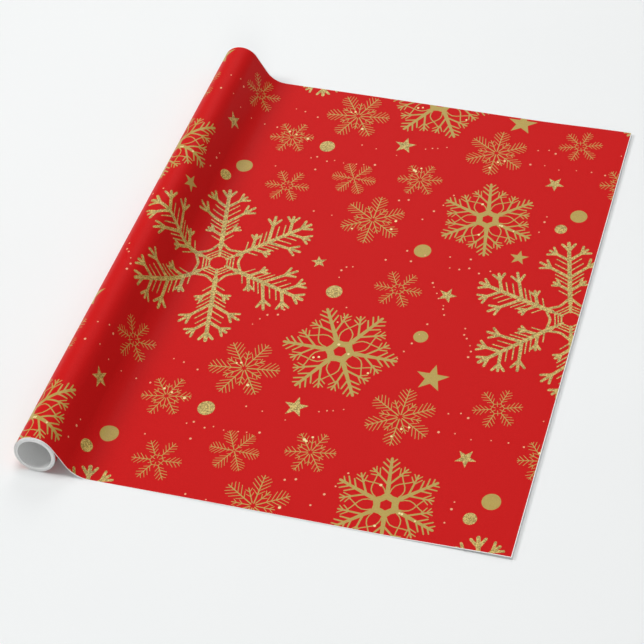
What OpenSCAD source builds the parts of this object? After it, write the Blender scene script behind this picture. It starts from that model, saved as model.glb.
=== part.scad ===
// A roll of gift wrapping paper. The web is wound on a paperboard core, leaves the roll
// over its top, bends down to the table and lies flat as a leaf.
//
// The origin is on the core's axis at mid length. +Y runs along the roll, +X is the way
// the leaf is drawn off, and +Z is up. The table is at z = -roll_r.

/* [Web] */
// Width of the paper web, which is also the length of the core
web_w = 737; // [450:1:1000]
// Thickness of the printed sheet
sheet_t = 0.15; // [0.1:0.01:0.2]
// From the core's axis to the leaf's free edge
leaf_reach = 488; // [200:1:800]

/* [Roll] */
// Outside diameter of the roll
roll_d = 44; // [43:0.5:60]
// Radial pitch of the wound turns, the sheet with the air between its layers
wind_pitch = 0.2; // [0.2:0.01:0.25]
// Radial gap between the wound turns and the outer turn
turn_gap = 0.35; // [0.3:0.01:0.5]

/* [Core] */
// Bore of the core, where a spindle goes
bore_d = 36; // [30:0.5:36]
// Thickness of the white liner ply
liner_t = 0.3; // [0.2:0.05:0.4]
// Thickness of the board ply
board_t = 0.9; // [0.6:0.05:1]
// Thickness of the outer ply
cover_t = 0.3; // [0.2:0.05:0.3]

/* [Tape] */
// Thickness of the tape that holds the web's inner end on the core
tape_t = 0.1; // [0.05:0.01:0.1]
// Length of one tape tab along the roll
tab_l = 50; // [20:1:100]
// How far round the core one tab reaches, in degrees
tab_arc = 36; // [20:1:60]
// Number of tabs along the roll
tabs = 3; // [1:1:5]

/* [Bend] */
// Slope of the web where it leaves the roll, in degrees below level
leave_slope = 57; // [45:1:70]
// Radius of the bend that lays the web flat
bend_r = 29; // [15:1:35]
// Flat stretch of web after the bend, before the leaf
foot_l = 4; // [2:0.5:20]
// Gap between the foot and the leaf
leaf_gap = 0.3; // [0.3:0.1:0.5]
// How far round the roll the outer turn reaches, in degrees
outer_turn_arc = 345; // [300:1:350]

/* [Hidden] */
$fn = 96;

paper_red = [0.80, 0.12, 0.13];
paper_white = [0.95, 0.95, 0.93];
board_pale = [0.86, 0.85, 0.82];
tape_clear = [0.90, 0.88, 0.78];

roll_r = roll_d / 2;
bore_r = bore_d / 2;
board_r = bore_r + liner_t;
cover_r = board_r + board_t;
core_r = cover_r + cover_t;
cut_over = 1;

// The web leaves the roll where the roll's skin slopes down by leave_slope.
leave_angle = 90 - leave_slope;

// The wound turns fill the space from the tape to the gap under the outer turn.
tape_gap = 0.05;
wind_start_r = core_r + tape_t + tape_gap;
wind_end_r = roll_r - sheet_t - turn_gap;
steps_per_turn = 60;
wind_steps = floor((wind_end_r - sheet_t - wind_start_r) / wind_pitch * steps_per_turn);

bend_steps = 24;
fall = roll_r * (1 + sin(leave_angle)) - sheet_t;
straight_l = (fall - bend_r * (1 - cos(leave_slope))) / sin(leave_slope);
bend_start = [roll_r * cos(leave_angle) + straight_l * cos(leave_slope),
              roll_r * sin(leave_angle) - straight_l * sin(leave_slope)];
bend_centre = bend_start + bend_r * [sin(leave_slope), cos(leave_slope)];
foot_end = bend_centre[0] + foot_l;
leaf_start = foot_end + leaf_gap;

function polar(r, a) = [r * cos(a), r * sin(a)];

// A point on one side of the spiral, where step 0 is the web's inner end.
function wind_point(step, side_r) =
    polar(wind_start_r + side_r + wind_pitch * step / steps_per_turn,
          leave_angle - (wind_steps - step) * 360 / steps_per_turn);

// A point on the bend at a slope below level, at a radius from the bend's centre.
function bend_point(r, slope) = bend_centre - r * [sin(slope), cos(slope)];

// Stands an XY outline up in the XZ plane and gives it the web's width along Y.
module along_roll(length) {
    rotate([90, 0, 0]) linear_extrude(length, center = true) children();
}

module ply(inner_r, outer_r) {
    rotate([90, 0, 0]) difference() {
        cylinder(h = web_w, r = outer_r, center = true);
        cylinder(h = web_w + 2 * cut_over, r = inner_r, center = true);
    }
}

// Part of a ring along the roll, from an angle and over an arc.
module ring_part(inner_r, outer_r, from, arc, length) {
    rotate([90, 0, 0]) rotate([0, 0, from]) rotate_extrude(angle = arc)
        translate([inner_r, -length / 2]) square([outer_r - inner_r, length]);
}

module core_liner_ply() color(paper_white) ply(bore_r, board_r);

module core_board_ply() color(board_pale) ply(board_r, cover_r);

module core_cover_ply() color(paper_white) ply(cover_r, core_r);

module start_tape() {
    tab_pitch = web_w / tabs;
    color(tape_clear) for (i = [0 : tabs - 1])
        translate([0, (i - (tabs - 1) / 2) * tab_pitch, 0])
            ring_part(core_r, core_r + tape_t, 0, tab_arc, tab_l);
}

module wound_turns() {
    inner_side = [for (i = [0 : wind_steps]) wind_point(i, 0)];
    outer_side = [for (i = [wind_steps : -1 : 0]) wind_point(i, sheet_t)];
    color(paper_red) along_roll(web_w) polygon(concat(inner_side, outer_side));
}

module outer_turn() {
    color(paper_red)
        ring_part(roll_r - sheet_t, roll_r, leave_angle, outer_turn_arc, web_w);
}

module web_bend() {
    slopes = [for (i = [0 : bend_steps]) leave_slope * (1 - i / bend_steps)];
    printed = concat([polar(roll_r, leave_angle)],
                     [for (s = slopes) bend_point(bend_r, s)],
                     [[foot_end, sheet_t - roll_r]]);
    back = concat([[foot_end, -roll_r]],
                  [for (i = [bend_steps : -1 : 0]) bend_point(bend_r + sheet_t, slopes[i])],
                  [polar(roll_r - sheet_t, leave_angle)]);
    color(paper_red) along_roll(web_w) polygon(concat(printed, back));
}

module leaf() {
    color(paper_red) translate([leaf_start, -web_w / 2, -roll_r])
        cube([leaf_reach - leaf_start, web_w, sheet_t]);
}

core_liner_ply();
core_board_ply();
core_cover_ply();
start_tape();
wound_turns();
outer_turn();
web_bend();
leaf();
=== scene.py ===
import math
import random
from collections import Counter

import bpy
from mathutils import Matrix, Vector
from mathutils.geometry import delaunay_2d_cdt


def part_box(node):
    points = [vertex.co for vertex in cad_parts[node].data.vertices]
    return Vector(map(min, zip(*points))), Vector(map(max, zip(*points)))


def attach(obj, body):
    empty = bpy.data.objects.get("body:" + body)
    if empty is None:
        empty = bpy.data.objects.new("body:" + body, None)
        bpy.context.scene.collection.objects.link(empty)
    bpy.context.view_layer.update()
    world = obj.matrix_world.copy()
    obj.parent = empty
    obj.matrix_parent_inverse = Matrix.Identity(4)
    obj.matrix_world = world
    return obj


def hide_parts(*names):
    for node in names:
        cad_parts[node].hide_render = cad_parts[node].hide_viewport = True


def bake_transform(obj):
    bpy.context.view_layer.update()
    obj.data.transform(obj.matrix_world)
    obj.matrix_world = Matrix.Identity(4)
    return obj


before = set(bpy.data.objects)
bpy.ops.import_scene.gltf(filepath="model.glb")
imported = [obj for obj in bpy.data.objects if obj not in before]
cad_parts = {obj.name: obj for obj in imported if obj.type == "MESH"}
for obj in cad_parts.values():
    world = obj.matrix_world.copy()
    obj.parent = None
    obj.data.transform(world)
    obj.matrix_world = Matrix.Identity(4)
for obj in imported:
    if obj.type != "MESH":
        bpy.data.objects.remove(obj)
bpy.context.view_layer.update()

MM = 0.001

# ---------------------------------------------------------------- sizes from the frame
leaf_low, leaf_high = (Vector(c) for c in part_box("leaf"))
free_x = leaf_high.x
floor_z = leaf_low.z
sheet_t = leaf_high.z - leaf_low.z
near_y, far_y = leaf_low.y, leaf_high.y
roll_r = -floor_z

# The slope at which the web leaves the roll, the bend's radius and how far round the roll
# the outer turn reaches, as the CAD web has them
leave_slope = math.radians(57)
bend_r = 29 * MM
outer_turn_arc = math.radians(345)

leave_angle = math.pi / 2 - leave_slope
fall = roll_r * (1 + math.sin(leave_angle)) - sheet_t
straight_l = (fall - bend_r * (1 - math.cos(leave_slope))) / math.sin(leave_slope)
leave_x, leave_z = roll_r * math.cos(leave_angle), roll_r * math.sin(leave_angle)
bend_x = leave_x + straight_l * math.cos(leave_slope) + bend_r * math.sin(leave_slope)
bend_z = floor_z + sheet_t + bend_r

# The web's stretches from its free edge: flat, bent, straight, and round the roll
flat_l = free_x - bend_x
bend_l = bend_r * leave_slope
bend_end_s = flat_l + bend_l
straight_end_s = bend_end_s + straight_l
web_l = straight_end_s + roll_r * outer_turn_arc


def web_point(s):
    """The printed face at s, measured along the web from its free edge: x, z and the
    face's normal in the XZ plane."""
    if s <= flat_l:
        return free_x - s, floor_z + sheet_t, 0.0, 1.0
    if s <= bend_end_s:
        a = (s - flat_l) / bend_r
        return bend_x - bend_r * math.sin(a), bend_z - bend_r * math.cos(a), math.sin(a), math.cos(a)
    if s <= straight_end_s:
        left = straight_end_s - s
        nx, nz = math.sin(leave_slope), math.cos(leave_slope)
        return leave_x + left * nz, leave_z - left * nx, nx, nz
    a = leave_angle + (s - straight_end_s) / roll_r
    return roll_r * math.cos(a), roll_r * math.sin(a), math.cos(a), math.sin(a)


# What a triangulation gives back: triangles over all its points, or inside its edges only
WHOLE, INSIDE = 0, 1

# ---------------------------------------------------------------- print: strokes of a flake
# A flake is drawn in its own plane with a radius of 1 and its first arm along +X.


def turned(p, a):
    """A point turned about the origin by an angle in radians."""
    c, s = math.cos(a), math.sin(a)
    return (p[0] * c - p[1] * s, p[0] * s + p[1] * c)


def stroke(a, b, wide, tip=None, cap=3):
    """A tapered stroke with round ends, as a polygon."""
    tip = wide if tip is None else tip
    along = math.atan2(b[1] - a[1], b[0] - a[0])
    points = []
    for centre, w, first in ((b, tip, along - math.pi / 2), (a, wide, along + math.pi / 2)):
        for i in range(cap + 1):
            t = first + math.pi * i / cap
            points.append((centre[0] + w / 2 * math.cos(t), centre[1] + w / 2 * math.sin(t)))
    return points


def pairs(stem, at, length, wide, angle):
    """Two twigs that leave a stem at one point, a share of its length, one on each side.
    Each comes as its polygon and its line."""
    (x0, y0), (x1, y1) = stem
    root = (x0 + (x1 - x0) * at, y0 + (y1 - y0) * at)
    along = math.atan2(y1 - y0, x1 - x0)
    ends = []
    for side in (1, -1):
        t = along + side * math.radians(angle)
        ends.append((root, (root[0] + length * math.cos(t), root[1] + length * math.sin(t))))
    return [(stroke(a, b, wide, wide * 0.8), (a, b)) for a, b in ends]


def curve_band(points, wide):
    """A thin band along a run of points, as a list of short strokes."""
    return [stroke(a, b, wide, cap=2) for a, b in zip(points, points[1:])]


def six_times(parts):
    """An arm's polygons, repeated on all six arms."""
    return [[turned(p, math.radians(60 * k)) for p in poly] for k in range(6) for poly in parts]


def hexagon(radius, wide):
    return curve_band([turned((radius, 0), math.radians(60 * k)) for k in range(7)], wide)


def arm_pairs(stem, twigs, angle):
    """Pairs of twigs along a stem, each given as its place, length and width."""
    return [poly for at, length, wide in twigs for poly, _ in pairs(stem, at, length, wide, angle)]


def half_stem(near, far):
    """A stem that lies midway between two arms."""
    return [turned((near, 0), math.radians(30)), turned((far, 0), math.radians(30))]


def arch(ends, middle, wide):
    """A curved band from one arm to the next, by its distance from the centre at both arms
    and midway between them."""
    points = []
    steps = 10
    for i in range(steps + 1):
        reach = ends + (middle - ends) * math.sin(math.pi * i / steps)
        points.append(turned((reach, 0), math.radians(6 * i)))
    return curve_band(points, wide)


# The line along an arm, from the flake's centre to its tip
arm_line = ((0, 0), (1, 0))


def fern_flake():
    arm = [stroke((0.09, 0), (0.27, 0), 0.028), stroke((0.20, 0), (0.99, 0), 0.046, 0.036)]
    for at, length, finger in ((0.36, 0.19, 0.07), (0.53, 0.35, 0.105), (0.755, 0.23, 0.095)):
        for bough, line in pairs(arm_line, at, length, 0.035, 53):
            arm.append(bough)
            arm += arm_pairs(line, ((0.65, finger, 0.031),), 37)
    arm += arm_pairs(arm_line, ((0.89, 0.105, 0.034),), 38)
    thin = 0.014
    arm += arm_pairs(arm_line, ((0.285, 0.13, thin), (0.425, 0.17, thin), (0.475, 0.17, thin),
                                (0.61, 0.17, thin), (0.685, 0.15, thin)), 53)
    arm += arch(0.265, 0.195, 0.026)
    return six_times(arm) + hexagon(0.100, 0.015) + hexagon(0.135, 0.013) + hexagon(0.170, 0.013)


def petal_flake():
    arm = [stroke((0.16, 0), (0.62, 0), 0.092, 0.060), stroke((0.6, 0), (0.985, 0), 0.060, 0.050)]
    for bough, line in pairs(arm_line, 0.42, 0.46, 0.038, 42):
        arm.append(bough)
        arm += arm_pairs(line, ((0.56, 0.16, 0.024), (0.78, 0.12, 0.024)), 38)
    arm += arm_pairs(arm_line, ((0.64, 0.21, 0.032), (0.76, 0.20, 0.032), (0.88, 0.13, 0.030)), 45)
    # two curves leave the hub in each gap, cross midway and end on the boughs
    curve = ((0.26, 9), (0.34, 11), (0.42, 16), (0.48, 23), (0.53, 30), (0.59, 36), (0.67, 41))
    arm += curve_band([turned((reach, 0), math.radians(a)) for reach, a in curve], 0.021)
    arm += curve_band([turned((reach, 0), math.radians(60 - a)) for reach, a in curve], 0.021)
    body = [(0.28, 0), turned((0.215, 0), math.radians(30)), turned((0.28, 0), math.radians(60)),
            turned((0.115, 0), math.radians(60)), (0.115, 0)]
    arm.append(body)
    return six_times(arm)


def leafy_flake():
    arm = [stroke((0.08, 0), (1, 0), 0.034, 0.026)]
    arm += arm_pairs(arm_line, ((0.36, 0.22, 0.022), (0.49, 0.33, 0.022), (0.62, 0.33, 0.022),
                                (0.75, 0.26, 0.022), (0.88, 0.14, 0.022)), 48)
    half = half_stem(0.10, 0.60)
    arm.append(stroke(*half, 0.026))
    arm += arm_pairs(half, ((0.40, 0.15, 0.022), (0.72, 0.14, 0.022)), 42)
    return six_times(arm)


def ring_flake():
    arm = [stroke((0.27, 0), (1, 0), 0.034, 0.028)]
    arm += arm_pairs(arm_line, ((0.36, 0.22, 0.025), (0.50, 0.31, 0.026), (0.66, 0.29, 0.026),
                                (0.83, 0.19, 0.026)), 50)
    arm.append(stroke(*half_stem(0.10, 0.34), 0.024))
    return six_times(arm) + hexagon(0.27, 0.026)


def cross_flake():
    arm = [stroke((0.10, 0), (1, 0), 0.038, 0.030)]
    arm += arm_pairs(arm_line, ((0.36, 0.20, 0.026), (0.55, 0.32, 0.028), (0.74, 0.27, 0.028),
                                (0.90, 0.13, 0.028)), 48)
    half = half_stem(0.12, 0.62)
    arm.append(stroke(*half, 0.030))
    arm += arm_pairs(half, ((0.62, 0.18, 0.028),), 46)
    return six_times(arm)


def comb_flake():
    arm = [stroke((0.05, 0), (1, 0), 0.034, 0.028)]
    wide = 0.024
    arm += arm_pairs(arm_line, ((0.20, 0.13, wide), (0.34, 0.30, wide), (0.48, 0.36, wide),
                                (0.62, 0.34, wide), (0.76, 0.26, wide), (0.90, 0.13, wide)), 48)
    return six_times(arm)


def disc(corners=28):
    angles = [2 * math.pi * i / corners for i in range(corners)]
    return [[(math.cos(a), math.sin(a)) for a in angles]]


def star():
    """A five-pointed star, with its notches at a share of its radius."""
    notch = 0.40
    return [[turned((1 if i % 2 == 0 else notch, 0), math.radians(36 * i)) for i in range(10)]]


def rim_edges(tris):
    """The directed edges that only one triangle uses."""
    edges = {(t[i], t[(i + 1) % 3]) for t in tris for i in range(3)}
    return [(a, b) for a, b in edges if (b, a) not in edges]


def outlines(polygons):
    """The outline loops of the polygons' union, each a list of points. Holes are loops too."""
    same_point = 1e-5
    verts, faces = [], []
    for poly in polygons:
        faces.append(list(range(len(verts), len(verts) + len(poly))))
        verts += [Vector(p) for p in poly]
    got, _, tris, _, _, owners = delaunay_2d_cdt(verts, [], faces, WHOLE, same_point, True)
    follows = {}
    for a, b in rim_edges([t for t, own in zip(tris, owners) if own]):
        follows.setdefault(a, []).append(b)
    loops = []
    while follows:
        start = min(follows)
        loop, at = [], start
        while True:
            nexts = follows[at]
            to = nexts.pop()
            if not nexts:
                del follows[at]
            loop.append(tuple(got[at]))
            at = to
            if at == start or at not in follows:
                break
        loops.append(loop)
    return loops


# ---------------------------------------------------------------- print: layout
# The print repeats on a square tile. u runs along the web from its free edge and v along
# the roll from its near end, both in millimetres before the print is drawn out along the
# roll. A flake's first arm points towards the free edge when its turn is 0.
tile = 400.0
draw_out = 1.213
# Where the first tile starts, from the sheet's near corner at its free edge
lead_u, lead_v = 1.0, -0.3
# The print is a little askew on the sheet, in slope across it and along it
askew_u, askew_v = -0.0042, 0.009
# The sheet's material slots, a later ink lying over an earlier one
RED, FLAT_GOLD, GLITTER, DUST, SPARK, BARE = range(6)

# design, u, v, radius, turn in degrees, slot
tile_print = [
    ("fern", 8, 306, 114, -16.5, GLITTER),
    ("petal", 237, 210.5, 63, 0, FLAT_GOLD),
    ("petal", 133, 33.6, 57, 40, FLAT_GOLD),
    ("leafy", 150, 141, 37, 30, FLAT_GOLD),
    ("leafy", 260, 4, 37, 30, FLAT_GOLD),
    ("leafy", 328, 166.5, 38, 7, FLAT_GOLD),
    ("ring", 202, 309, 27, 0, FLAT_GOLD),
    ("ring", 55, 172, 26, 16, FLAT_GOLD),
    ("ring", 373, 35, 26, 4, FLAT_GOLD),
    ("cross", 225.5, 78, 26, 9, FLAT_GOLD),
    ("cross", 394, 114, 26, 10, FLAT_GOLD),
    ("comb", 301, 63, 26, 0, FLAT_GOLD),
    ("star", 258.5, 129.5, 13.5, 90, GLITTER),
    ("star", 132, 197, 18.5, 90, FLAT_GOLD),
    ("star", 71, 104.3, 11.5, 64, GLITTER),
    ("star", 84, 383, 11, 90, FLAT_GOLD),
    ("star", 147, 312, 11, 77, GLITTER),
    ("star", 299, 328.5, 9, 108, GLITTER),
    ("disc", 32.5, 58.5, 9.7, 0, FLAT_GOLD),
    ("disc", 48, 35, 7, 0, GLITTER),
    ("disc", 191.5, 370, 9.7, 0, FLAT_GOLD),
    ("disc", 269, 290, 9, 0, GLITTER),
    ("disc", 159, 249, 8, 0, FLAT_GOLD),
    ("disc", 348, 108, 9, 0, GLITTER),
]
# Trails of fine dots: u, v, then how far the trail runs in u and in v, and its dots
dust_trails = [
    (18, 132, 90, -2, 6), (81, 155, 24, 3, 3), (141, 286, 26, 40, 7), (101, 234, 14, 36, 6),
    (108, 354, 50, -2, 5), (138, 372, 70, -8, 4), (69, 27, 1, 26, 3), (182, 62, 22, -45, 4),
    (228, 46, 10, -8, 2), (210, 138, 26, -6, 4), (266, 112, 44, 8, 3), (286, 88, 76, -2, 8),
    (312, 253, 28, -26, 5), (263, 331, 8, -18, 4), (377, 156, 27, 5, 3), (156, 265, 16, -52, 5),
    (202, 354, 24, -4, 2), (246, 270, 3, -22, 3), (347, 68, 48, -3, 2), (331, 4, -22, -3, 2),
]
# How far a dust dot may stand off its trail
stray = 3
# Sparks on each flake of a design
sparks = {"petal": 5, "leafy": 3, "cross": 3}


def signed_area(loop):
    return sum(a[0] * b[1] - b[0] * a[1] for a, b in zip(loop, loop[1:] + loop[:1])) / 2


def placed(loops, u, v, radius, turn, column, length):
    """A design's loops on the web, in metres of s and y, or None where it misses the web."""
    a = math.radians(turn)
    out = []
    for loop in loops:
        points = []
        for p in loop:
            x, y = turned(p, a)
            across = near_y + (lead_v + (v + radius * y) * draw_out) * MM
            along = (lead_u + u - radius * x) * MM + askew_u * across
            points.append((along, across + askew_v * (along - column * tile * MM)))
        if signed_area(points) < 0:
            points.reverse()
        out.append(points)
    s = [p[0] for loop in out for p in loop]
    y = [p[1] for loop in out for p in loop]
    if min(s) > length or max(s) < 0 or min(y) > far_y or max(y) < near_y:
        return None
    return out


def print_on_web(length):
    """Every motif that falls on the web, as (slot, loops)."""
    designs = {
        "fern": outlines(fern_flake()), "petal": outlines(petal_flake()),
        "leafy": outlines(leafy_flake()), "ring": outlines(ring_flake()),
        "cross": outlines(cross_flake()), "comb": outlines(comb_flake()),
        "disc": disc(), "star": star(), "dot": disc(8),
    }
    rng = random.Random(7)
    motifs = list(tile_print)
    for u, v, du, dv, count in dust_trails:
        for i in range(count):
            t = i / max(count - 1, 1)
            dot_u = u + du * t + rng.uniform(-stray, stray)
            dot_v = v + dv * t + rng.uniform(-stray, stray)
            motifs.append(("dot", dot_u, dot_v, rng.uniform(0.7, 1.4), 0, DUST))
    for name, u, v, radius, turn, slot in tile_print:
        for i in range(sparks.get(name, 0)):
            a = rng.uniform(0, 2 * math.pi)
            r = radius * rng.uniform(0.15, 0.75)
            motifs.append(("dot", u + r * math.cos(a), v + r * math.sin(a),
                           rng.uniform(1.0, 1.8), 0, SPARK))
    found = []
    rows = int((far_y - near_y) / (tile * draw_out * MM)) + 2
    columns = int(length / (tile * MM)) + 2
    for name, u, v, radius, turn, slot in motifs:
        for i in range(-1, columns):
            for j in range(-1, rows):
                loops = placed(designs[name], u + i * tile, v + j * tile, radius, turn, i, length)
                if loops:
                    found.append((slot, loops))
    return found


# ---------------------------------------------------------------- the web's mesh
# Bare paper round the print
margin = 0.9 * MM
# How far the leaf stands off the table, how much more it does at its free edge, and the
# share of its length over which each of them grows
rise = 0.6 * MM
curl = 2.4 * MM
grow = 0.3
# How far the outer turn's end has crept towards the near end. No hand winds a roll square.
creep = 0.6 * MM
# How close two points of the sheet's mesh are when they are one
same_place = 1e-8


def rings_along(length):
    """Places along the web where its mesh has a line across: wide apart where it lies flat,
    close together where it is bent."""
    flat_rows, bend_rows, turn_rows = 24, 12, 72
    turn_l = web_l - straight_end_s
    lines = [flat_l * i / flat_rows for i in range(1, flat_rows)]
    lines += [flat_l + bend_l * i / bend_rows for i in range(bend_rows + 1)]
    lines += [straight_end_s + turn_l * i / turn_rows for i in range(turn_rows)]
    return [s for s in lines if 0 < s < length]


def ease(t):
    """From 0 to 1 with a level start and end."""
    t = min(max(t, 0), 1)
    return t * t * (3 - 2 * t)


def lift(s):
    """How far the leaf stands off the table, as paper that was wound does."""
    return rise * ease((flat_l - s) / (flat_l * grow)) + curl * ease(1 - s / (flat_l * grow))


def skew(s):
    """How far the web has crept along the roll at s."""
    return creep * max(s - straight_end_s, 0) / (web_l - straight_end_s)


def on_web(s, y, depth):
    """A point of the sheet in the row frame, at a depth under its printed face."""
    x, z, nx, nz = web_point(s)
    return (x - nx * depth, y - skew(s), z - nz * depth + lift(s))


def cut_mesh(length):
    """The printed face laid out flat, with every motif cut into it: its points as s and y,
    its triangles and each triangle's slot."""
    verts, edges, faces, owner = [], [], [], []

    def add_face(points, who):
        faces.append(list(range(len(verts), len(verts) + len(points))))
        verts.extend(Vector(p) for p in points)
        owner.append(who)

    add_face([(0, near_y), (length, near_y), (length, far_y), (0, far_y)], ("web", 0))
    add_face([(margin, near_y + margin), (length, near_y + margin), (length, far_y - margin),
              (margin, far_y - margin)], ("inked", 0))
    for n, (slot, loops) in enumerate(print_on_web(length)):
        for loop in loops:
            add_face(loop, (slot, n))
    for s in rings_along(length):
        edges.append((len(verts), len(verts) + 1))
        verts.extend((Vector((s, near_y)), Vector((s, far_y))))
    got, _, tris, _, _, owners = delaunay_2d_cdt(verts, edges, faces, WHOLE, same_place, True)
    keep, slots = [], []
    for t, own in zip(tris, owners):
        names = [owner[i] for i in own]
        if ("web", 0) not in names:
            continue
        slot = BARE
        if ("inked", 0) in names:
            # a motif's holes lie in two of its loops, so only an odd count is ink
            counts = Counter(who for who in names if isinstance(who[0], int))
            slot = max([RED] + [who[0] for who, count in counts.items() if count % 2])
        keep.append(tuple(t))
        slots.append(slot)
    used = sorted({i for t in keep for i in t})
    place = {old: new for new, old in enumerate(used)}
    return [got[i] for i in used], [tuple(place[i] for i in t) for t in keep], slots


def smooth_mesh(name, verts, faces, slots):
    mesh = bpy.data.meshes.new(name)
    mesh.from_pydata(verts, [], faces)
    mesh.polygons.foreach_set("material_index", slots)
    mesh.polygons.foreach_set("use_smooth", [True] * len(faces))
    mesh.update()
    return mesh


def linked(name, data):
    """An object that holds the data, put in the scene."""
    thing = bpy.data.objects.new(name, data)
    bpy.context.scene.collection.objects.link(thing)
    return thing


def web_mesh(name, length):
    """The web's printed face, its back and its cut edge as one closed mesh."""
    plan, tris, slots = cut_mesh(length)
    rim = sorted(rim_edges(tris))
    around = sorted({a for a, _ in rim})
    # the back has the same edge, and its own lines across
    index = {a: i for i, a in enumerate(around)}
    back_plan = [plan[a].copy() for a in around]
    back_edges = [(index[a], index[b]) for a, b in rim]
    for s in rings_along(length):
        back_edges.append((len(back_plan), len(back_plan) + 1))
        back_plan += [Vector((s, near_y)), Vector((s, far_y))]
    back = delaunay_2d_cdt(back_plan, back_edges, [], INSIDE, same_place, True)
    got, _, back_tris, source, _, _ = back
    first = len(plan)
    back_of = {}
    for new, old in enumerate(source):
        for i in old:
            if i < len(around):
                back_of[around[i]] = first + new
    places = [on_web(p[0], p[1], 0) for p in plan] + [on_web(p[0], p[1], sheet_t) for p in got]
    faces = [tuple(reversed(t)) for t in tris]
    faces += [tuple(first + i for i in t) for t in back_tris]
    faces += [(a, b, back_of[b], back_of[a]) for a, b in rim]
    slots = slots + [BARE] * (len(back_tris) + len(rim))

    mesh = smooth_mesh(name, places, faces, slots)
    # the faces take the curve's own normals, and the cut edge stays sharp
    top, under = len(tris), len(tris) + len(back_tris)
    normals = []
    for k, face in enumerate(faces):
        flat = mesh.polygons[k].normal
        for v in face:
            if k >= under:
                normals.append(tuple(flat))
                continue
            s = plan[v][0] if k < top else got[v - first][0]
            _, _, nx, nz = web_point(s)
            side = 1 if k < top else -1
            normals.append((side * nx, 0.0, side * nz))
    mesh.normals_split_custom_set(normals)
    return linked(name, mesh)


# ---------------------------------------------------------------- the wound turns and the core
core_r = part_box("core_cover_ply")[1][0]
board_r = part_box("core_board_ply")[1][0]
liner_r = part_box("core_liner_ply")[1][0]
bore_r = 18 * MM
# How far the core stands out at the roll's near end
core_out = 0.9 * MM
# The liner's seam: how far apart its turns lie, and the groove's width and depth
seam_pitch = 60 * MM
seam_wide = 0.8 * MM
seam_deep = 0.12 * MM
# The gap under the first turn, where the tape is, and the gap under the outer turn
tape_gap = 0.15 * MM
turn_gap = 0.35 * MM
wind_r = core_r + tape_gap
wind_end_r = roll_r - sheet_t - turn_gap
# The wound sheet is drawn a little thicker than the paper, so that its turns nearly touch
wound_t = 0.194 * MM
wind_pitch = 0.2 * MM
steps_per_turn = 72
wind_steps = int((wind_end_r - wound_t - wind_r) / wind_pitch * steps_per_turn)


def object_from(name, verts, faces, slots):
    """A piece that is smooth but for its sharp corners."""
    sharp_corner = math.radians(40)
    mesh = smooth_mesh(name, verts, faces, slots)
    mesh.set_sharp_from_angle(angle=sharp_corner)
    return linked(name, mesh)


def wander(turn):
    """How far a turn stands out at the roll's near end. No winder lays every turn level."""
    stagger = 0.25 * MM
    return core_out + stagger * (math.sin(2.1 * turn) + 0.6 * math.sin(5.3 * turn + 1))


def wound_mesh(name):
    """The inner turns as one thin spiral strip. It is red outside, up to bare margins, and
    bare inside and at its edges."""
    verts, faces, slots = [], [], []
    inked, plain = range(2)
    printed_side = 2
    for i in range(wind_steps + 1):
        a = leave_angle - (wind_steps - i) * 2 * math.pi / steps_per_turn
        r = wind_r + wind_pitch * i / steps_per_turn
        out = wander(i / steps_per_turn)
        outside = r + wound_t
        section = [(r, near_y), (outside, near_y), (outside, near_y + 2 * margin),
                   (outside, far_y - margin), (outside, far_y), (r, far_y)]
        verts += [(radius * math.cos(a), y - out, radius * math.sin(a)) for radius, y in section]
    size = len(section)
    for i in range(wind_steps):
        for k in range(size):
            a, b = size * i + k, size * i + (k + 1) % size
            faces.append((a, b, b + size, a + size))
            slots.append(inked if k == printed_side else plain)
    faces += [tuple(reversed(range(size))), tuple(size * wind_steps + k for k in range(size))]
    slots += [plain, plain]
    return object_from(name, verts, faces, slots)


def ply_mesh(name, inner, outer, groove):
    """A tube, with a shallow groove in its bore along the helix where its strip's edges
    meet, or with none where the groove's depth is 0."""
    around, rows = 96, 260
    verts, faces = [], []
    for side, radius in ((0, inner), (1, outer)):
        for j in range(rows + 1):
            y = near_y - core_out + (far_y - near_y) * j / rows
            for i in range(around):
                a = 2 * math.pi * i / around
                phase = (y / seam_pitch + a / (2 * math.pi)) % 1.0 - 0.5
                dip = groove * math.exp(-(phase * seam_pitch / seam_wide) ** 2)
                r = radius + dip if side == 0 else radius
                verts.append((r * math.cos(a), y, r * math.sin(a)))
    shell = (rows + 1) * around
    for j in range(rows):
        for i in range(around):
            k = (i + 1) % around
            a, b, c, d = j * around + i, j * around + k, (j + 1) * around + k, (j + 1) * around + i
            faces.append((a, b, c, d))
            faces.append((shell + a, shell + d, shell + c, shell + b))
    for j, flip in ((0, False), (rows, True)):
        for i in range(around):
            k = (i + 1) % around
            ring = (j * around + i, shell + j * around + i, shell + j * around + k, j * around + k)
            faces.append(ring[::-1] if flip else ring)
    return object_from(name, verts, faces, [0] * len(faces))


# ---------------------------------------------------------------- materials


def new_material(name, shown):
    """A node material with its tree and shader. shown is its colour in a plain viewport."""
    material = bpy.data.materials.new(name)
    material.use_nodes = True
    material.diffuse_color = (*shown, 1)
    tree = material.node_tree
    shader = next(n for n in tree.nodes if n.type == "BSDF_PRINCIPLED")
    return material, tree, shader


def add(tree, kind, **values):
    """A new node, with values for its sockets."""
    node = tree.nodes.new(kind)
    for key, value in values.items():
        node.inputs[key].default_value = value
    return node


def two_tone(tree, factor, dark, pale, low=0.3, high=0.7):
    """A ramp from dark to pale over a noise."""
    ramp = tree.nodes.new("ShaderNodeValToRGB")
    ramp.color_ramp.elements[0].position = low
    ramp.color_ramp.elements[1].position = high
    ramp.color_ramp.elements[0].color = (*dark, 1)
    ramp.color_ramp.elements[1].color = (*pale, 1)
    tree.links.new(factor, ramp.inputs["Fac"])
    return ramp.outputs["Color"]


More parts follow.
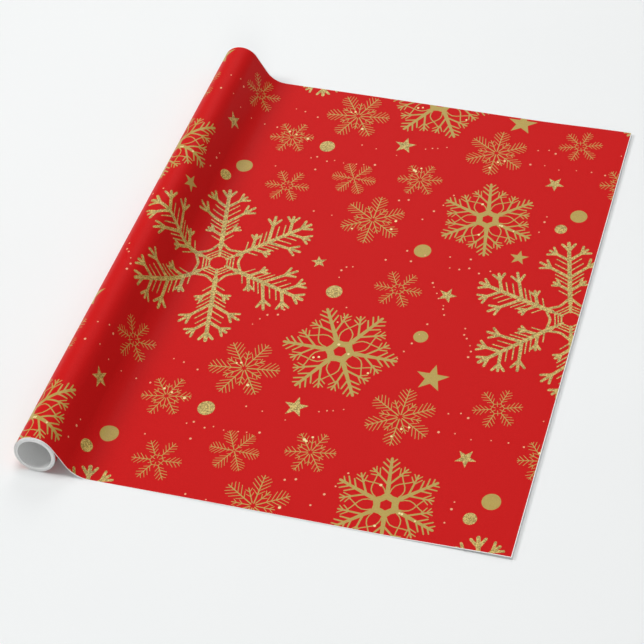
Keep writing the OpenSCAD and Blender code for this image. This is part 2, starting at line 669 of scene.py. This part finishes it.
def paper_finish(tree, shader, colour, rough, fibre, specular):
    """Fibre in the surface: a fine bump, a roughness that varies and the given colour."""
    rough_vary = 0.06
    place = tree.nodes.new("ShaderNodeTexCoord")
    grain = add(tree, "ShaderNodeTexNoise", Scale=2600.0, Detail=3.0, Roughness=0.6)
    tree.links.new(place.outputs["Object"], grain.inputs["Vector"])
    spread = add(tree, "ShaderNodeMapRange")
    spread.inputs["To Min"].default_value = rough - rough_vary
    spread.inputs["To Max"].default_value = rough + rough_vary
    tree.links.new(grain.outputs["Fac"], spread.inputs["Value"])
    tree.links.new(spread.outputs["Result"], shader.inputs["Roughness"])
    bump = add(tree, "ShaderNodeBump", Strength=fibre, Distance=0.00004)
    tree.links.new(grain.outputs["Fac"], bump.inputs["Height"])
    tree.links.new(bump.outputs["Normal"], shader.inputs["Normal"])
    shader.inputs["Specular IOR Level"].default_value = specular
    tree.links.new(colour, shader.inputs["Base Color"])


def cloud(tree, scale, detail):
    """A soft noise, as a factor from 0 to 1."""
    place = tree.nodes.new("ShaderNodeTexCoord")
    noise = add(tree, "ShaderNodeTexNoise", Scale=scale, Detail=detail, Roughness=0.55)
    tree.links.new(place.outputs["Object"], noise.inputs["Vector"])
    return noise.outputs["Fac"]


def mottled(name, shown, scale, dark, pale, rough, fibre, specular, detail=2.0):
    """A material with one tone that a noise makes darker and paler."""
    material, tree, shader = new_material(name, shown)
    colour = two_tone(tree, cloud(tree, scale, detail), dark, pale)
    paper_finish(tree, shader, colour, rough, fibre, specular)
    return material


def red_ink():
    return mottled("red_ink", (0.6, 0.01, 0.012), scale=900.0,
                   dark=(0.555, 0.0085, 0.0085), pale=(0.61, 0.0105, 0.0105),
                   rough=0.42, fibre=0.15, specular=0.04)


def flat_gold():
    return mottled("flat_gold_ink", (0.47, 0.34, 0.08), scale=700.0,
                   dark=(0.42, 0.297, 0.057), pale=(0.49, 0.353, 0.079),
                   rough=0.42, fibre=0.2, specular=0.3)


def glitter_gold():
    """Chips of foil, each with its own tone."""
    material, tree, shader = new_material("glitter_gold_ink", (0.5, 0.36, 0.1))
    place = tree.nodes.new("ShaderNodeTexCoord")
    chips = add(tree, "ShaderNodeTexVoronoi", Scale=950.0)
    tree.links.new(place.outputs["Object"], chips.inputs["Vector"])
    tone = tree.nodes.new("ShaderNodeRGBToBW")
    tree.links.new(chips.outputs["Color"], tone.inputs["Color"])
    colour = two_tone(tree, tone.outputs["Val"], (0.24, 0.16, 0.02), (0.76, 0.57, 0.16), 0.2, 0.85)
    paper_finish(tree, shader, colour, 0.38, 0.3, 0.4)
    return material


def dust_gold():
    return mottled("fine_dust_ink", (0.8, 0.5, 0.25), scale=1200.0,
                   dark=(0.72, 0.32, 0.15), pale=(0.84, 0.46, 0.24),
                   rough=0.4, fibre=0.15, specular=0.3)


def spark_gold():
    return mottled("bright_spark_ink", (0.85, 0.72, 0.32), scale=1200.0,
                   dark=(0.78, 0.62, 0.22), pale=(0.90, 0.78, 0.40),
                   rough=0.35, fibre=0.15, specular=0.4)


def plain_stock(name, dark, pale):
    """Uncoated paper or board, with a rougher fibre than the print has."""
    return mottled(name, pale, scale=500.0, dark=dark, pale=pale,
                   rough=0.62, fibre=0.4, specular=0.3, detail=4.0)


def bare_paper():
    return plain_stock("bare_paper", dark=(0.85, 0.85, 0.84), pale=(0.90, 0.90, 0.895))


def white_board():
    return plain_stock("white_board", dark=(0.76, 0.755, 0.735), pale=(0.83, 0.825, 0.81))


def clear_tape():
    return mottled("clear_tape", (0.8, 0.75, 0.6), scale=300.0,
                   dark=(0.74, 0.68, 0.52), pale=(0.82, 0.77, 0.62),
                   rough=0.15, fibre=0.05, specular=0.5)


def floor_surface():
    material, tree, shader = new_material("floor", (0.9, 0.9, 0.9))
    colour = two_tone(tree, cloud(tree, 3.0, 2.0), (0.885, 0.895, 0.893), (0.895, 0.905, 0.903))
    tree.links.new(colour, shader.inputs["Base Color"])
    shader.inputs["Roughness"].default_value = 0.7
    shader.inputs["Specular IOR Level"].default_value = 0.2
    return material


def give(piece, *materials):
    """Fill a piece's material slots in order."""
    for material in materials:
        piece.data.materials.append(material)


# ---------------------------------------------------------------- camera, floor and light


def add_camera():
    look_down, look_left = 39.75, 14.91
    camera = linked("camera", bpy.data.cameras.new("camera"))
    camera.data.lens = 129.1
    camera.data.sensor_width = 36
    camera.location = (0.7148, -1.9328, 1.5831)
    camera.rotation_euler = (math.radians(90 - look_down), 0, math.radians(look_left))
    bpy.context.scene.camera = camera


def add_lamp(name, light, location, target):
    lamp = linked(name, light)
    lamp.location = location
    lamp.rotation_euler = (Vector(target) - Vector(location)).to_track_quat("-Z", "Y").to_euler()


def add_area(name, location, target, size, power):
    """A round soft lamp."""
    light = bpy.data.lights.new(name, "AREA")
    light.shape = "DISK"
    light.size = size
    light.energy = power
    add_lamp(name, light, location, target)


def add_sun(name, location, spread, strength):
    """A large far lamp, so the floor is as bright far off as it is near."""
    light = bpy.data.lights.new(name, "SUN")
    light.angle = math.radians(spread)
    light.energy = strength
    add_lamp(name, light, location, (0, 0, 0))


def add_floor():
    half = 4.0
    corners = [(-half, -half), (half, -half), (half, half), (-half, half)]
    floor = object_from("floor", [(x, y, floor_z) for x, y in corners], [(0, 1, 2, 3)], [0])
    give(floor, floor_surface())


def add_world():
    """A dim pale room. The camera sees it brighter, as a backdrop."""
    world = bpy.data.worlds.new("studio")
    bpy.context.scene.world = world
    world.use_nodes = True
    tree = world.node_tree
    dim = next(n for n in tree.nodes if n.type == "BACKGROUND")
    out = next(n for n in tree.nodes if n.type == "OUTPUT_WORLD")
    dim.inputs["Color"].default_value = (0.97, 0.99, 1.0, 1)
    dim.inputs["Strength"].default_value = 0.24
    pale = add(tree, "ShaderNodeBackground", Color=(0.9, 0.91, 0.91, 1), Strength=0.9)
    seen = tree.nodes.new("ShaderNodeLightPath")
    mix = tree.nodes.new("ShaderNodeMixShader")
    tree.links.new(seen.outputs["Is Camera Ray"], mix.inputs[0])
    tree.links.new(dim.outputs[0], mix.inputs[1])
    tree.links.new(pale.outputs[0], mix.inputs[2])
    tree.links.new(mix.outputs[0], out.inputs["Surface"])


def add_lights():
    """Soft light from above and the left, with a faint sheen from behind."""
    add_area("overhead", (0.0, 0.0, 3.4), (0.2, 0, 0), 1.8, 42)
    add_sun("left_key", (-3.5, -0.45, 2.82), 15, 0.82)
    add_area("left_near", (-2.8, -0.36, 2.26), (0, 0, 0), 1.0, 20)
    add_area("back_sheen", (-0.4, 2.2, 1.95), (0.2, 0, 0), 2.0, 18)
    add_area("front_fill", (0.8, -3.1, 1.35), (0, -0.3, 0), 1.2, 20)


# ---------------------------------------------------------------- the pieces

add_camera()
add_floor()
add_world()
add_lights()
bare = bare_paper()
board = white_board()
red = red_ink()

web = web_mesh("printed_web", web_l)
give(web, red, flat_gold(), glitter_gold(), dust_gold(), spark_gold(), bare)
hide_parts("outer_turn", "web_bend", "leaf")
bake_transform(web)

wound = wound_mesh("wound_web")
give(wound, red, bare)
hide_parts("wound_turns")
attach(wound, "roll")

for name, node, inner, outer, slot, paint, groove in (
    ("core_liner", "core_liner_ply", bore_r, liner_r, "liner_paper", bare, seam_deep),
    ("core_board", "core_board_ply", liner_r, board_r, "core_board", board, 0.0),
    ("core_cover", "core_cover_ply", board_r, core_r, "liner_paper", bare, 0.0),
):
    ply = ply_mesh(name, inner, outer, groove)
    give(ply, paint)
    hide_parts(node)
    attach(ply, "roll")

tape = bpy.data.objects["start_tape"]
tape.material_slots[0].link = "OBJECT"
tape.material_slots[0].material = clear_tape()

bpy.context.scene.view_settings.view_transform = "Standard"
